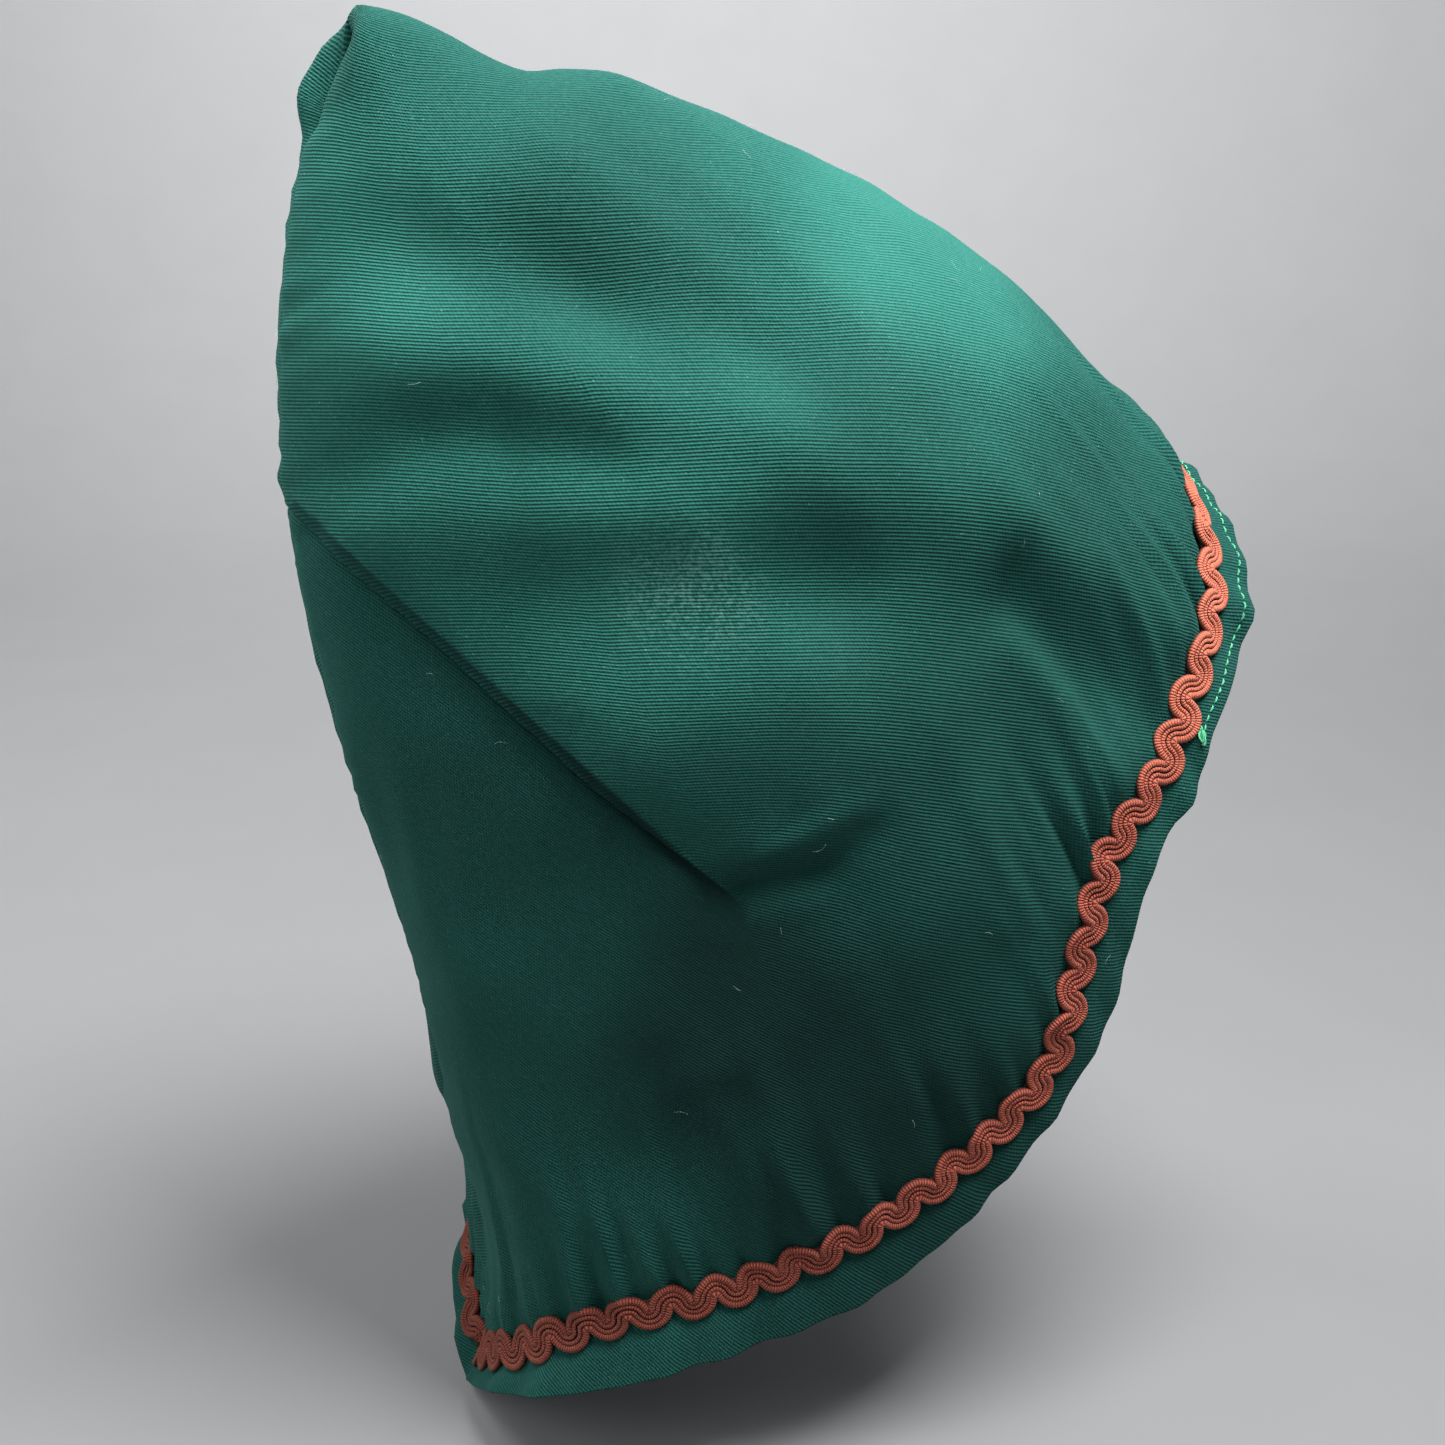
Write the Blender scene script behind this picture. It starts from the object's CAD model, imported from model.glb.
import math

import bpy
import numpy as np
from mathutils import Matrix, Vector


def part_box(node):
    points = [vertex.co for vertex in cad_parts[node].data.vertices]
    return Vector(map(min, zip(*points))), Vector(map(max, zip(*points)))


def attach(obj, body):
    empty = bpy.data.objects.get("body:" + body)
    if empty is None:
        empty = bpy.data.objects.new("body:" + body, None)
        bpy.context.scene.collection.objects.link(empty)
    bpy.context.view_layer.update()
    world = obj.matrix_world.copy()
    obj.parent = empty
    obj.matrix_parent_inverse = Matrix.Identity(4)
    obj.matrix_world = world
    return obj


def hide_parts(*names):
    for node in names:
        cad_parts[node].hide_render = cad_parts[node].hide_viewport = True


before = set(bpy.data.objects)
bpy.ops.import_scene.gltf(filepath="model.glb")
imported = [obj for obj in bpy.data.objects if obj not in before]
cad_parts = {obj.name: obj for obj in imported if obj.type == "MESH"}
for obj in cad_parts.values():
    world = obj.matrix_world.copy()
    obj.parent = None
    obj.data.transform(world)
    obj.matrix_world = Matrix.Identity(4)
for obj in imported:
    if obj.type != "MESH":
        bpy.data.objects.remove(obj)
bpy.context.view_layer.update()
mm = 0.001
print("frame loaded")

# The hood's form. Lengths are in mm. Seen from the side, forward and up are shares of depth and height.
form = {
    "height": 425.0,
    "depth": 284.0,
    "halfWidth": 84.0,
    "seatOffset": (0.0, 169.18, -382.51),  # from these tables to the frame, whose origin is the seat
    "cloth": 1.5,
    "turnedHem": 2.6,
    "foldHeight": 4.0,
    "columns": 148,  # round one half
    "peakRows": 44,
    "dartRows": 18,
    "sideRows": 44,
    "edgeRows": 42,
    "edgeZone": 62.0,  # from the hem in
    "dartZone": 7.0,  # to each side of the dart
    "slit": 0.25,  # to each side of the dart's crease
    "hemSteps": 601,
}


def columnsOf(names, *rows):
    values = np.array(rows, float)
    return {name: values[:, k] for k, name in enumerate(names.split())}


crownLine = columnsOf(
    "at forward up",
    (0.0, 0.092, 1.0), (0.04, 0.13, 0.996), (0.08, 0.168, 0.986), (0.154, 0.239, 0.966),
    (0.2, 0.285, 0.967), (0.25, 0.335, 0.964), (0.334, 0.419, 0.947), (0.446, 0.528, 0.922),
    (0.57, 0.644, 0.889), (0.71, 0.768, 0.838), (0.876, 0.895, 0.764), (0.95, 0.952, 0.725),
    (1.0, 0.993, 0.713),
)
backLine = columnsOf(
    "at forward up",
    (0.0, 0.092, 1.0), (0.039, 0.056, 0.967), (0.066, 0.037, 0.944), (0.145, 0.014, 0.864),
    (0.24, 0.0, 0.767), (0.352, 0.004, 0.652), (0.477, 0.032, 0.525), (0.618, 0.081, 0.384),
    (0.77, 0.12, 0.231), (0.856, 0.141, 0.144), (0.924, 0.144, 0.073), (0.962, 0.134, 0.036),
    (1.0, 0.109, 0.0),
)
hemLine = columnsOf(
    "at out forward up inset",  # inset: from the hem in to the braid's centre, in mm
    (0.0, 0.0, 0.993, 0.713, 11.8), (0.04, 0.225, 0.988, 0.702, 13.2),
    (0.08, 0.436, 0.982, 0.681, 14.8), (0.13, 0.663, 0.974, 0.643, 19.6),
    (0.18, 0.807, 0.949, 0.595, 17.4), (0.25, 0.924, 0.889, 0.529, 14.8),
    (0.285, 0.95, 0.869, 0.493, 16.0), (0.33, 0.973, 0.822, 0.448, 17.4),
    (0.375, 0.986, 0.8, 0.398, 25.2), (0.42, 0.995, 0.782, 0.345, 27.2),
    (0.46, 0.998, 0.753, 0.303, 22.4), (0.5, 1.0, 0.717, 0.264, 16.0),
    (0.58, 0.981, 0.624, 0.193, 20.7), (0.66, 0.953, 0.508, 0.139, 25.8),
    (0.74, 0.889, 0.374, 0.111, 25.2), (0.81, 0.797, 0.257, 0.09, 27.4),
    (0.87, 0.643, 0.166, 0.072, 22.1), (0.91, 0.459, 0.133, 0.052, 16.8),
    (0.94, 0.309, 0.118, 0.035, 14.6), (0.97, 0.154, 0.113, 0.016, 12.9),
    (1.0, 0.0, 0.109, 0.0, 11.2),
)
sections = columnsOf(
    "at width crown back bow follow",
    (0.0, 0.0, 1.7, 1.6, 0.0, 0.0), (0.02, 0.085, 1.8, 1.7, 0.0, 0.0),
    (0.06, 0.165, 1.8, 1.7, 0.01, 0.0), (0.16, 0.33, 1.8, 1.5, 0.03, 0.0),
    (0.25, 0.48, 1.85, 1.5, 0.08, 0.0), (0.4, 0.73, 1.9, 1.5, 0.18, 0.02),
    (0.55, 0.92, 1.9, 1.6, 0.32, 0.08), (0.7, 0.985, 1.9, 1.9, 0.5, 0.2),
    (0.85, 1.0, 1.9, 2.1, 0.72, 0.45), (1.0, 1.0, 2.0, 2.3, 1.0, 1.0),
)


def readTable(table, column, at):
    knots, values = table["at"], table[column]
    at = np.clip(np.asarray(at, float), 0, 1)
    k = np.clip(np.searchsorted(knots, at, side="left") - 1, 0, len(knots) - 2)
    last = len(knots) - 1

    def slope(i, j):
        return (values[j] - values[i]) / (knots[j] - knots[i])

    span = knots[k + 1] - knots[k]
    s = (at - knots[k]) / span
    startSlope, endSlope = slope(np.maximum(k - 1, 0), k + 1), slope(k, np.minimum(k + 2, last))
    ends = (2 * s**3 - 3 * s**2 + 1) * values[k] + (3 * s**2 - 2 * s**3) * values[k + 1]
    return ends + span * ((s**3 - 2 * s**2 + s) * startSlope + (s**3 - s**2) * endSlope)


def bell(value):
    return np.exp(-value * value)


def ease(start, end, value):
    share = np.clip((value - start) / (end - start), 0, 1)
    return share * share * (3 - 2 * share)


def blend(a, b, share):
    return a + (b - a) * share


def unit(vectors):
    return vectors / np.maximum(np.linalg.norm(vectors, axis=-1, keepdims=True), 1e-9)


def waves(points, length, seed, count=9):  # smooth noise of about -1 to 1 with that wave length
    random = np.random.default_rng(seed)
    points = np.asarray(points, float)
    total = np.zeros(points.shape[:-1])
    for _ in range(count):
        way = random.normal(size=points.shape[-1])
        way *= 2 * math.pi * random.uniform(0.6, 1.5) / (length * np.linalg.norm(way))
        total += np.sin(points @ way + random.uniform(0, 2 * math.pi))
    return total / math.sqrt(count / 2) / 1.6


def edgeWaves(place, length, seed):  # the same along one line
    return waves(np.asarray(place, float)[..., None], length, seed)


def sidePoint(forward, up):  # y and z in mm
    return np.array([-forward * form["depth"], up * form["height"]])


def onLine(point, start, line):  # a point's distances from the line's start, and its share of the line
    y, z = point[..., 1] - start[0], point[..., 2] - start[1]
    return y, z, (y * line[0] + z * line[1]) / (line @ line)


def hemShape(at):
    front = sidePoint(hemLine["forward"][0], hemLine["up"][0])
    chord = sidePoint(hemLine["forward"][-1], hemLine["up"][-1]) - front
    y = -readTable(hemLine, "forward", at) * form["depth"] - front[0]
    z = readTable(hemLine, "up", at) * form["height"] - front[1]
    share = (y * chord[0] + z * chord[1]) / (chord @ chord)
    return share, (y * chord[1] - z * chord[0]) / np.linalg.norm(chord)


def smoothHalf(at, down):  # the right half before its folds, x to the wearer's right is negative
    at, down = np.broadcast_arrays(np.asarray(at, float), np.asarray(down, float))
    cosine = np.cos(np.pi * at)
    blunt = np.where(at < 0.5, readTable(sections, "crown", down), readTable(sections, "back", down))
    power = 2 / blunt
    hemAlong, hemBow = hemShape(at)
    follow = readTable(sections, "follow", down)
    along = blend((1 - np.sign(cosine) * np.abs(cosine) ** power) / 2, hemAlong, follow)
    out = blend(np.maximum(np.sin(np.pi * at), 0) ** power, readTable(hemLine, "out", at), follow)
    frontY = -readTable(crownLine, "forward", down) * form["depth"]
    frontZ = readTable(crownLine, "up", down) * form["height"]
    chordY = -readTable(backLine, "forward", down) * form["depth"] - frontY
    chordZ = readTable(backLine, "up", down) * form["height"] - frontZ
    bow = hemBow * readTable(sections, "bow", down) / np.maximum(np.hypot(chordY, chordZ), 1e-6)
    return np.stack([
        -form["halfWidth"] * readTable(sections, "width", down) * out,
        frontY + chordY * along + bow * chordZ,
        frontZ + chordZ * along - bow * chordY,
    ], -1)


tip = np.array([0.0, -crownLine["forward"][0] * form["depth"], crownLine["up"][0] * form["height"]])


def ribLength(at):
    return np.linalg.norm(smoothHalf(at, 1.0) - tip, axis=-1)


def outwardAt(at, down):
    step = 0.004
    at, down = np.broadcast_arrays(np.asarray(at, float), np.asarray(down, float))
    aLow, aHigh = np.maximum(at - step, 0), np.minimum(at + step, 1)
    dLow, dHigh = np.clip(down - step, 0.004, 1), np.minimum(down + step, 1)
    dHigh = np.maximum(dHigh, dLow + 0.004)
    across = smoothHalf(aHigh, down) - smoothHalf(aLow, down)
    normal = np.cross(across, smoothHalf(at, dHigh) - smoothHalf(at, dLow))
    normal[..., 0] = np.where((at <= 0) | (at >= 1), 0, normal[..., 0])
    return unit(normal)


def lengthsAlong(points):  # how far along its line each point is
    return np.concatenate([[0], np.cumsum(np.linalg.norm(np.diff(points, axis=0), axis=1))])


hemShares = np.linspace(0, 1, form["hemSteps"])
hemArc = lengthsAlong(smoothHalf(hemShares, 1.0))


dart = {
    "start": (0.0, 0.707),  # forward, up
    "end": (0.364, 0.456),
    "puff": 6.2,  # how far the cloth above swells out to the crease
    "puffReach": 42.0,
    "step": 2.9,  # how much less the cloth below swells
    "belowReach": 30.0,
    "crease": 2.8,
    "creaseReach": 2.0,
    "lip": 1.1,  # how far the swell hangs over the crease
}


def fromDart(point):
    start = sidePoint(*dart["start"])
    line = sidePoint(*dart["end"]) - start
    y, z, share = onLine(point, start, line)
    return share, (line[1] * y - line[0] * z) / np.linalg.norm(line)


# Soft folds seen from the side: two ends, reach as a share of depth, height as a share of foldHeight.
folds = np.array([
    (0.06, 0.925, 0.12, 0.965, 0.04, -0.5), (0.12, 0.862, 0.25, 0.835, 0.055, -1.0),
    (0.25, 0.835, 0.41, 0.805, 0.055, -0.9), (0.08, 0.803, 0.25, 0.782, 0.05, 0.75),
    (0.25, 0.782, 0.4, 0.755, 0.05, 0.75), (0.09, 0.695, 0.22, 0.71, 0.055, 0.75),
    (0.22, 0.71, 0.4, 0.713, 0.05, 0.6), (0.15, 0.65, 0.45, 0.662, 0.075, -0.9),
    (0.45, 0.662, 0.78, 0.578, 0.07, -0.9), (0.4, 0.735, 0.62, 0.7, 0.06, 0.6),
    (0.67, 0.69, 0.86, 0.605, 0.032, 0.7), (0.65, 0.645, 0.82, 0.548, 0.032, -0.75),
    (0.65, 0.61, 0.78, 0.51, 0.022, 0.6), (0.63, 0.56, 0.72, 0.46, 0.045, -0.7),
    (0.37, 0.455, 0.45, 0.46, 0.05, -0.8), (0.16, 0.26, 0.25, 0.17, 0.05, 0.5),
    (0.3, 0.36, 0.42, 0.24, 0.06, 0.5),
])
# Finer creases that only this surface has: two ends, reach and height in mm.
creases = np.array([
    (0.05, 0.722, 0.11, 0.752, 8.0, -1.5), (0.11, 0.752, 0.17, 0.757, 8.0, -1.5),
    (0.17, 0.757, 0.26, 0.737, 8.0, -1.5), (0.26, 0.737, 0.37, 0.734, 8.0, -1.3),
    (0.716, 0.707, 0.865, 0.641, 5.0, 0.7), (0.75, 0.55, 0.82, 0.5, 5.5, -1.0),
    (0.635, 0.611, 0.77, 0.499, 4.0, -0.7), (0.606, 0.508, 0.645, 0.425, 6.0, 0.9),
    (0.32, 0.499, 0.42, 0.514, 5.0, -0.9), (0.355, 0.485, 0.479, 0.518, 4.5, 1.1),
    (0.374, 0.467, 0.449, 0.471, 5.0, -1.9), (0.346, 0.437, 0.442, 0.455, 5.0, 1.0),
    (0.44, 0.47, 0.5, 0.5, 5.0, -0.9), (0.32, 0.326, 0.45, 0.205, 8.0, 1.1),
    (0.36, 0.32, 0.48, 0.215, 6.0, -0.8), (0.138, 0.261, 0.218, 0.215, 6.0, 0.8),
    (0.275, 0.311, 0.282, 0.175, 6.0, 0.9), (0.35, 0.312, 0.352, 0.182, 6.0, -0.8),
    (0.138, 0.628, 0.115, 0.652, 5.0, 0.6), (0.195, 0.597, 0.243, 0.593, 5.0, 0.6),
])
edge = {
    "pinch": 2.2,  # how far the braid draws the cloth in
    "pinchReach": 9.0,
    "puff": 3.0,  # over the forehead
    "puffShare": 0.24,  # of the hem
    "puffSet": 15.0,
    "puffReach": 12.0,
    "ripple": 1.4,
    "rippleLength": 21.0,
    "hemWaves": ((0.4, 17, 9), (0.6, 38, 0)),  # height, length, seed
    "gather": 1.45,  # pleats that run in from the braid
    "gatherReach": 34.0,
    "pleats": ((1.0, 15, 0.12, 1), (0.6, 8.5, -0.1, 2)),  # height, length, lean, seed
    "wrinkles": ((0.6, 55, 4), (0.3, 24, 5)),  # height, length, seed, over all the cloth
}
seam = {"depth": 1.7, "reach": 3.6, "pucker": 0.5, "puckerReach": 12.0, "puckerLength": 11}
slot = {"depth": 7.5, "reach": 3.2, "leftLip": 3.5, "rightLip": 3.5}


def foldLift(point, table, reachScale, heightScale):
    lift = np.zeros(point.shape[:-1])
    for x0, z0, x1, z1, reach, height in table:
        start = sidePoint(x0, z0)
        line = sidePoint(x1, z1) - start
        y, z, share = onLine(point, start, line)
        share = np.clip(share, 0, 1)
        away = np.hypot(y - share * line[0], z - share * line[1])
        lift += heightScale * height * bell(away / (reach * reachScale))
    return lift


def softSide(side, at, down):  # one half (-1: right) with its folds but no dart, and its outward ways
    at, down = np.broadcast_arrays(np.asarray(at, float), np.asarray(down, float))
    point, normal = smoothHalf(at, down), outwardAt(at, down)
    fromHem = (1 - down) * ribLength(at)
    inset = readTable(hemLine, "inset", at)
    inward = fromHem - inset
    grown = ease(0, 0.1, down)
    seed = 10 if side < 0 else 60
    place = np.interp(at, hemShares, hemArc) * (1 if side < 0 else -1)

    lift = -edge["pinch"] * bell(inward / edge["pinchReach"])
    puff = edge["puff"] * bell(at / edge["puffShare"])
    lift += puff * bell((inward - edge["puffSet"]) / edge["puffReach"])
    ripple = edge["ripple"] * np.cos(2 * np.pi * round(hemArc[-1] / edge["rippleLength"]) * at)
    ripple *= 0.45 + 0.55 * edgeWaves(place, 90, seed + 8)
    for height, length, turn in edge["hemWaves"]:
        ripple += height * edgeWaves(place, length, seed + turn)
    lift += ripple * ease(0, 0.05, np.minimum(at, 1 - at)) * (1 - ease(0, 1, fromHem / inset))
    pleat = 0
    for height, length, lean, turn in edge["pleats"]:
        pleat = pleat + height * edgeWaves(place + lean * inward, length, seed + turn)
    reach = edge["gatherReach"] * (1 + 0.4 * edgeWaves(place, 60, seed + 3))
    fade = ease(-4, 7, inward) * bell(np.maximum(inward - 6, 0) / reach)
    lift += edge["gather"] * pleat * fade * (0.35 + 0.65 * ease(0, 0.12, at)) * grown

    folded = foldLift(point, folds, form["depth"], form["foldHeight"]) + foldLift(point, creases, 1, 1)
    for height, length, turn in edge["wrinkles"]:
        folded += height * waves(point, length, seed + turn)
    lift += grown * folded * (0.25 + 0.75 * ease(2, 30, fromHem))

    fromSeam = np.where(at > 0.5, np.abs(point[..., 0]), 1e3)
    lift -= grown * seam["depth"] * bell(fromSeam / seam["reach"])
    pucker = edgeWaves((1 - down) * 420, seam["puckerLength"], seed + 6)
    pucker *= ease(1, 5, fromSeam) * bell(fromSeam / seam["puckerReach"])
    lift += grown * seam["pucker"] * pucker

    opened = ease(0.008, 0.03, down) * (1 - ease(0.06, 0.1, down))
    lift -= opened * slot["depth"] * bell(fromSeam / slot["reach"])
    point = point + normal * lift[..., None]
    lipHold = opened * ease(0.55, 0.85, at) * (1 - ease(0.97, 1, at))
    point[..., 1] += lipHold * (-slot["rightLip"] if side < 0 else slot["leftLip"])
    return point, normal


# The finished outer face. below is 1 under the dart's crease, 0 over it and -1 past its end.
def clothSide(side, at, down, below=-1.0):
    base = smoothHalf(at, down)
    point, normal = softSide(side, at, down)
    share, above = fromDart(base)
    below = np.where(np.asarray(below) < 0, above < 0, below)
    fade = (1 - ease(0.6, 1.04, share)) * ease(0.0, 0.1, down)
    fade *= 0.5 + 0.5 * ease(0.0, 0.3, share)
    up = np.maximum(above, 0)
    puff = dart["puff"] * (0.86 + 0.14 * ease(0, 3, up)) * bell(up / dart["puffReach"])
    low = np.maximum(-above, 0)
    hollow = (dart["puff"] - dart["step"]) * bell(low / dart["belowReach"])
    hollow -= dart["crease"] * bell(low / dart["creaseReach"])
    pucker = 0.35 * edgeWaves(share * 148, 12, 90) * bell((np.abs(above) - 5) / 6)
    lift = fade * (np.where(below > 0.5, hollow, puff) + pucker)
    point = point + normal * lift[..., None]
    lip = fade * dart["lip"] * (1 - below) * bell(up / 1.6)
    point[..., 2] -= lip * 0.8
    point[..., 1] += lip * 0.5
    if side > 0:
        point = point * (-1, 1, 1)
    return point


def dartDown(at):  # where a rib crosses the dart's line; past the dart's end it levels off
    tries = np.linspace(0.12, 0.8, 341)
    _, above = fromDart(smoothHalf(at[:, None], tries[None, :]))
    first = np.argmax(above < 0, axis=1)
    a, b = above[np.arange(len(at)), first - 1], above[np.arange(len(at)), first]
    return tries[first - 1] + (tries[1] - tries[0]) * a / (a - b)


columnAt = np.linspace(0, 1, form["columns"] + 1)
dartAt = np.linspace(0.55, 1, 181)
dartPlace = dartDown(dartAt)
dartShare, _ = fromDart(smoothHalf(dartAt, dartPlace))
dartEndAt = np.interp(-1.0, -dartShare, dartAt)
endDown = np.interp(dartEndAt, dartAt, dartPlace)
levelled = blend(endDown, 0.5, ease(0, dartEndAt, dartEndAt - columnAt))
dartRow = np.where(columnAt >= dartEndAt, np.interp(columnAt, dartAt, dartPlace), levelled)


def rowPlaces():  # down for each row and column, with the row at the dart twice
    ribs = ribLength(columnAt)
    edgeStart = 1 - form["edgeZone"] / ribs
    half = form["dartZone"] / ribs
    rows = []
    for k in range(1, form["peakRows"] + 1):
        rows.append((dartRow - half) * (k / form["peakRows"]) ** 1.15)
    spread = np.linspace(-1, 1, form["dartRows"] + 1)[1:]
    for s in spread:
        rows.append(dartRow + half * math.copysign(abs(s) ** 1.4, s))
        if abs(s) < 1e-9:
            rows[-1] = dartRow - form["slit"] / ribs
            rows.append(dartRow + form["slit"] / ribs)
    start = rows[-1]
    for k in range(1, form["sideRows"] + 1):
        rows.append(blend(start, edgeStart, k / form["sideRows"]))
    for k in range(1, form["edgeRows"] + 1):
        rows.append(1 - form["edgeZone"] * (1 - k / form["edgeRows"]) ** 1.25 / ribs)
    return np.array(rows)


downRows = rowPlaces()
creaseRow = form["peakRows"] + form["dartRows"] // 2  # first row below the crease
belowRows = (np.arange(len(downRows)) >= creaseRow).astype(float)[:, None] * np.ones_like(downRows)


def ringOf(right, left):  # rows of points round the whole hood, crown, right side, seam, left side
    return np.concatenate([right, left[:, -2:0:-1]], axis=1)


dartSides = np.where(columnAt >= dartEndAt, belowRows, -1)
right = clothSide(-1, columnAt[None, :], downRows, dartSides)
left = clothSide(1, columnAt[None, :], downRows, dartSides)
for k in (0, -1):
    middle = (right[:, k] + left[:, k]) / 2
    right[:, k] = left[:, k] = middle * (0, 1, 1)
outer = ringOf(right, left)
softRight, softLeft = (softSide(side, columnAt[None, :], downRows)[0] for side in (-1, 1))
softLeft = softLeft * (-1, 1, 1)
inside = ringOf(softRight, softLeft)


def ringNormals(points):
    across = np.roll(points, -1, 1) - np.roll(points, 1, 1)
    along = np.gradient(points, axis=0)
    return unit(np.cross(across, along))


fromHemRows = (1 - downRows) * ribLength(columnAt)[None, :]
turned = readTable(hemLine, "inset", columnAt)[None, :] + 4
wall = blend(form["turnedHem"], form["cloth"], ease(0, 5, fromHemRows - turned))
wall = ringOf(wall, wall)
hollowed = inside - ringNormals(inside) * wall[..., None]
hollowed[:, 0, 0] = hollowed[:, form["columns"], 0] = 0
print("cloth shaped", outer.shape)


weave = {
    "wale": 0.95,  # from one twill line to the next
    "crownAngle": 24.0,  # between the twill and the crown line
    "rounds": 500,
    "reach": 0.09,  # of a measured slope
    "hold": 0.3,  # how far the measured slope turns the carried one
}
# Slope of the twill seen from the side, in degrees down towards the face: forward, up, slope, and
# 1 where the row counts below the dart only, 0 above it only, -1 for both.
twillSlopes = np.array([
    (0.125, 0.916, -3.4, 0), (0.277, 0.885, -0.5, 0), (0.46, 0.859, 0.6, -1),
    (0.248, 0.775, 2.2, 0), (0.427, 0.741, 4.5, -1), (0.646, 0.735, 8.1, -1),
    (0.703, 0.7, 11.2, -1), (0.778, 0.744, 18.6, -1), (0.809, 0.67, 20.3, -1),
    (0.789, 0.59, 16.7, -1), (0.794, 0.481, 12.2, -1), (0.646, 0.38, 5.1, -1),
    (0.521, 0.52, 6.2, -1), (0.334, 0.623, 1.4, 0), (0.169, 0.65, -3.0, 0),
    (0.049, 0.828, -5.0, 0), (0.124, 0.586, 36.9, 1), (0.399, 0.43, 24.8, 1),
    (0.435, 0.371, 42.5, -1), (0.209, 0.232, 41.7, 1), (0.317, 0.183, 47.4, 1),
    (0.441, 0.184, 48.1, -1), (0.155, 0.382, 36.6, 1), (0.533, 0.283, 44.1, -1),
])


def twillSlope(point, below):
    forward, up = -point[..., 1] / form["depth"], point[..., 2] / form["height"]
    total, weight = np.zeros(forward.shape), np.full(forward.shape, 1e-9)
    for x, z, slope, isBelow in twillSlopes:
        near = bell(np.hypot((forward - x) * 0.7, up - z) / weave["reach"]) + 1e-5
        if isBelow >= 0:
            near = np.where((forward < 0.4) & (np.abs(below - isBelow) > 0.5), near * 1e-3, near)
        total += near * slope
        weight += near
    return np.radians(total / weight)


def weaveField():  # on the right half: lengths across the twill lines and along them, in mm
    base = smoothHalf(columnAt[None, :], downRows)
    along = np.gradient(base, axis=0)
    around = np.gradient(base, axis=1)
    around[:, [0, -1], 1:] = 0
    normal = unit(np.cross(around, along))
    slope = twillSlope(base, belowRows)
    wale = np.zeros_like(base)
    angle = math.radians(weave["crownAngle"])
    crownWay = unit(along[:, 0])
    wale[:, 0] = -math.cos(angle) * crownWay + math.sin(angle) * np.array([-1.0, 0, 0])
    seen = np.stack([np.zeros_like(slope), np.cos(slope), np.sin(slope)], -1)  # back and up
    for q in range(1, base.shape[1]):
        here = normal[:, q]
        carried = wale[:, q - 1] - here * np.sum(wale[:, q - 1] * here, -1, keepdims=True)
        sideways = here[:, :1]
        tilt = np.where(np.abs(sideways) < 0.2, -0.2, sideways)
        lean = -np.sum(seen[:, q] * here, -1, keepdims=True) / tilt
        measured = unit(seen[:, q] + lean * np.array([1.0, 0, 0]))
        hold = weave["hold"] * ease(0.25, 0.6, np.abs(sideways))
        mixed = blend(unit(carried), measured, hold)
        wale[:, q] = unit(mixed - here * np.sum(mixed * here, -1, keepdims=True))
    cut = np.zeros(base.shape[:2])
    cut[creaseRow - 1] = (columnAt > dartEndAt).astype(float)  # between this row and the next
    fields = [fitField(base, way, 1 - cut) for way in (np.cross(normal, wale), wale)]
    return np.stack(fields, -1)


def fitField(points, way, link):  # the scalar whose slope along the surface is nearest to way
    def stepsOf(axis):
        span = np.diff(points, axis=axis)
        ahead, behind = range(1, way.shape[axis]), range(way.shape[axis] - 1)
        mean = (np.take(way, ahead, axis) + np.take(way, behind, axis)) / 2
        return np.sum(span * mean, -1), 1 / np.maximum(np.linalg.norm(span, axis=-1), 0.3)

    rowStep, rowHold = stepsOf(0)
    columnStep, columnHold = stepsOf(1)
    rowHold = rowHold * link[:-1]

    def spread(rowPart, columnPart):
        out = np.zeros(points.shape[:2])
        out[1:] += rowPart
        out[:-1] -= rowPart
        out[:, 1:] += columnPart
        out[:, :-1] -= columnPart
        return out

    def apply(field):
        return spread(rowHold * np.diff(field, axis=0), columnHold * np.diff(field, axis=1))

    weight = np.zeros(points.shape[:2])
    weight[1:] += rowHold
    weight[:-1] += rowHold
    weight[:, 1:] += columnHold
    weight[:, :-1] += columnHold
    weight = np.maximum(weight, 1e-6)
    field = np.sum(points * way, -1)  # a fair first guess
    rest = spread(rowHold * rowStep, columnHold * columnStep) - apply(field)
    near = rest / weight
    push, old = near.copy(), np.sum(rest * near)
    for _ in range(weave["rounds"]):
        pulled = apply(push)
        size = old / max(np.sum(push * pulled), 1e-12)
        field += size * push
        rest -= size * pulled
        near = rest / weight
        new = np.sum(rest * near)
        push = near + (new / max(old, 1e-12)) * push
        old = new
        if new < 1e-7:
            break
    return field


weaveValues = weaveField()
print("weave laid")


seatOffset = np.array(form["seatOffset"])


def atCorners(values, faces):  # a value for each point, given to each face's corners
    return values[np.array([n for face in faces for n in face])]


def meshObject(name, points, faces, material, slotName, corner=None, replaced=()):
    mesh = bpy.data.meshes.new(name)
    mesh.from_pydata(((np.asarray(points) + seatOffset) * mm).tolist(), [], faces)
    for label, values in (corner or {}).items():
        layer = mesh.attributes.new(label, "FLOAT_VECTOR", "CORNER")
        layer.data.foreach_set("vector", np.ravel(values).astype(np.float32))
    mesh.polygons.foreach_set("use_smooth", np.ones(len(mesh.polygons), bool))
    mesh.materials.append(material)
    mesh.validate()
    mesh.update()
    piece = bpy.data.objects.new(name, mesh)
    bpy.context.scene.collection.objects.link(piece)
    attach(piece, "root")
    if replaced:
        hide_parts(*replaced)
    return piece


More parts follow.
